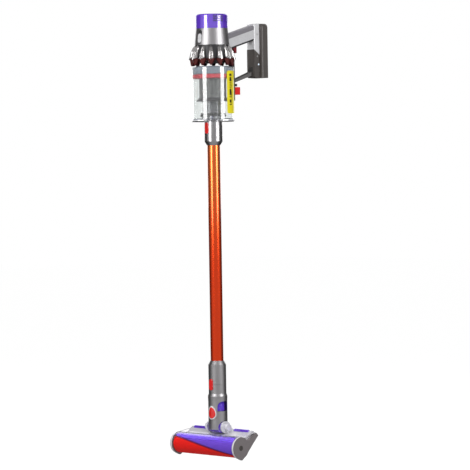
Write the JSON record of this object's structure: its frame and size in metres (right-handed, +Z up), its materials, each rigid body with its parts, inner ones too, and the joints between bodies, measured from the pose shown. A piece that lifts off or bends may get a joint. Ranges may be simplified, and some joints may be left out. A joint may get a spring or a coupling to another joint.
{
  "type": "cordless stick vacuum",
  "caption": "Cordless stick vacuum with in-line cyclone bin, loop handle with battery, long wand and soft roller floor head.",
  "frame": {"origin": "centre of the battery's flat back face, which rests on a dock", "axes": "+Z up the wand towards the filter cap, +Y from the wand to the battery's back, X across the floor head"},
  "size_m": [0.25, 0.2586, 1.2127],
  "materials": {
    "nickel": "semi-gloss metallic nickel grey paint",
    "purple_gloss": "glossy bright purple plastic",
    "filter_media": "pale pleated filter cloth",
    "dark_plastic": "dark moulded plastic",
    "motor_metal": "plain machined metal",
    "rubber": "soft black rubber",
    "board_green": "green circuit board",
    "cone_copper": "dark copper red plastic",
    "collar_grey": "blue grey plastic",
    "seal_red": "bright red soft seal",
    "mesh_grey": "finely perforated metal",
    "duct_grey": "mid grey plastic",
    "clear": "clear polycarbonate",
    "pad_grey": "soft purple grey grip",
    "silver_plastic": "light silver grey plastic",
    "battery_brown": "dark brownish grey plastic",
    "cell_wrap": "shrink wrapped cells",
    "red_gloss": "bright red plastic",
    "trigger_red": "deep red plastic",
    "copper_metal": "copper orange metallic anodised tube",
    "hose_purple": "soft purple ribbed hose",
    "head_pale": "smoky clear plastic",
    "cap_grey": "warm grey plastic",
    "nap": "soft woven nylon nap in red and purple"
  },
  "bodies": {
    "main_body": {"motor_housing": "nickel", "slider_track": "dark_plastic", "motor_bucket": "dark_plastic", "motor_stator": "motor_metal", "motor_mounts": "rubber", "main_board": "board_green", "cyclone_cover": "nickel", "cyclone_cones": "cone_copper", "cyclone_base": "collar_grey", "bin_seal": "seal_red", "shroud_mesh": "mesh_grey", "shroud_skirt": "dark_plastic", "inlet_duct": "duct_grey", "bin_rail": "dark_plastic", "grip_liner": "dark_plastic", "grip_arm": "nickel", "grip_pad": "pad_grey", "column_shell": "silver_plastic", "battery_case": "battery_brown", "charge_socket": "dark_plastic", "battery_cells": "cell_wrap", "battery_board": "board_green", "handle_strut": "nickel", "housing_screws": "motor_metal"},
    "filter": {"filter_cap": "purple_gloss", "filter_element": "filter_media"},
    "motor_rotor": {"motor_rotor": "motor_metal"},
    "mode_slider": {"mode_slider": "silver_plastic"},
    "trigger": {"trigger": "trigger_red"},
    "bin_lever": {"bin_lever": "red_gloss"},
    "bin": {"bin_wall": "clear", "bin_rim": "dark_plastic", "flap_pin": "motor_metal"},
    "bin_base": {"bin_flap": "dark_plastic", "flap_seal": "rubber", "inlet_stub": "nickel"},
    "wand": {"wand_collar_top": "nickel", "wand_tube": "copper_metal", "wand_collar_bottom": "nickel", "wand_cable": "dark_plastic"},
    "wand_button": {"wand_button": "red_gloss"},
    "cuff": {"head_cuff": "nickel", "pivot_cap": "red_gloss", "lean_pins": "motor_metal"},
    "head_button": {"head_button": "red_gloss"},
    "lower_neck": {"lower_neck": "nickel", "neck_hose": "hose_purple", "pitch_barrel": "purple_gloss"},
    "floor_head": {"head_housing": "head_pale", "head_window": "clear", "sole_plate": "silver_plastic", "cap_left": "cap_grey", "cap_right": "cap_grey", "neck_yoke": "clear", "head_motor": "motor_metal", "pitch_pins": "motor_metal"},
    "roller": {"roller_sleeve": "nap", "roller_core": "dark_plastic"},
    "cap_lock": {"cap_lock": "dark_plastic"},
    "rear_wheels": {"rear_wheels": "rubber"}
  },
  "joints": [
    {"name": "filter_twist", "type": "hinge", "parent": "main_body", "child": "filter", "pos_m": [0, -0.1925, 0.0965], "axis": [0, 0, 1], "range_deg": [0, 25]},
    {"name": "rotor_spin", "type": "hinge", "parent": "main_body", "child": "motor_rotor", "pos_m": [0, -0.1925, 0.0125], "axis": [0, 0, 1], "continuous": true},
    {"name": "mode_slide", "type": "slide", "parent": "main_body", "child": "mode_slider", "axis": [0, 0.1039, 0.9946], "range_m": [0, 0.008]},
    {"name": "trigger_press", "type": "slide", "parent": "main_body", "child": "trigger", "axis": [0, 0, 1], "range_m": [0, 0.005], "stiffness_N_per_m": 700, "springref_m": -0.002},
    {"name": "lever_press", "type": "slide", "parent": "main_body", "child": "bin_lever", "axis": [0, 0, -1], "range_m": [0, 0.008], "stiffness_N_per_m": 500, "springref_m": -0.003},
    {"name": "bin_slide", "type": "slide", "parent": "main_body", "child": "bin", "axis": [0, 0, -1], "range_m": [0, 0.055]},
    {"name": "flap_open", "type": "hinge", "parent": "bin", "child": "bin_base", "pos_m": [0, -0.13, -0.192], "axis": [1, 0, 0], "range_deg": [0, 90]},
    {"name": "wand_pull", "type": "slide", "parent": "bin_base", "child": "wand", "axis": [0, 0, -1], "range_m": [0, 0.03]},
    {"name": "wand_button_press", "type": "slide", "parent": "wand", "child": "wand_button", "axis": [0, 1, 0], "range_m": [0, 0.0025], "stiffness_N_per_m": 900, "springref_m": -0.001},
    {"name": "head_pull", "type": "slide", "parent": "wand", "child": "cuff", "axis": [0, 0, -1], "range_m": [0, 0.03]},
    {"name": "head_button_press", "type": "slide", "parent": "cuff", "child": "head_button", "axis": [0, 1, 0], "range_m": [0, 0.0025], "stiffness_N_per_m": 900, "springref_m": -0.001},
    {"name": "neck_lean", "type": "hinge", "parent": "cuff", "child": "lower_neck", "pos_m": [0, -0.1925, -0.9975], "axis": [0, 1, 0], "range_deg": [-35, 35], "deforming": ["neck_hose"]},
    {"name": "head_pitch", "type": "hinge", "parent": "lower_neck", "child": "floor_head", "pos_m": [0, -0.1925, -1.0345], "axis": [1, 0, 0], "range_deg": [-45, 40]},
    {"name": "roller_spin", "type": "hinge", "parent": "floor_head", "child": "roller", "pos_m": [0, -0.22807, -1.08268], "axis": [1, 0, 0], "continuous": true},
    {"name": "cap_lock_turn", "type": "hinge", "parent": "floor_head", "child": "cap_lock", "pos_m": [0.125, -0.22807, -1.08268], "axis": [1, 0, 0], "range_deg": [0, 90]},
    {"name": "wheel_spin", "type": "hinge", "parent": "floor_head", "child": "rear_wheels", "pos_m": [0, -0.17067, -1.05637], "axis": [1, 0, 0], "continuous": true}
  ]
}
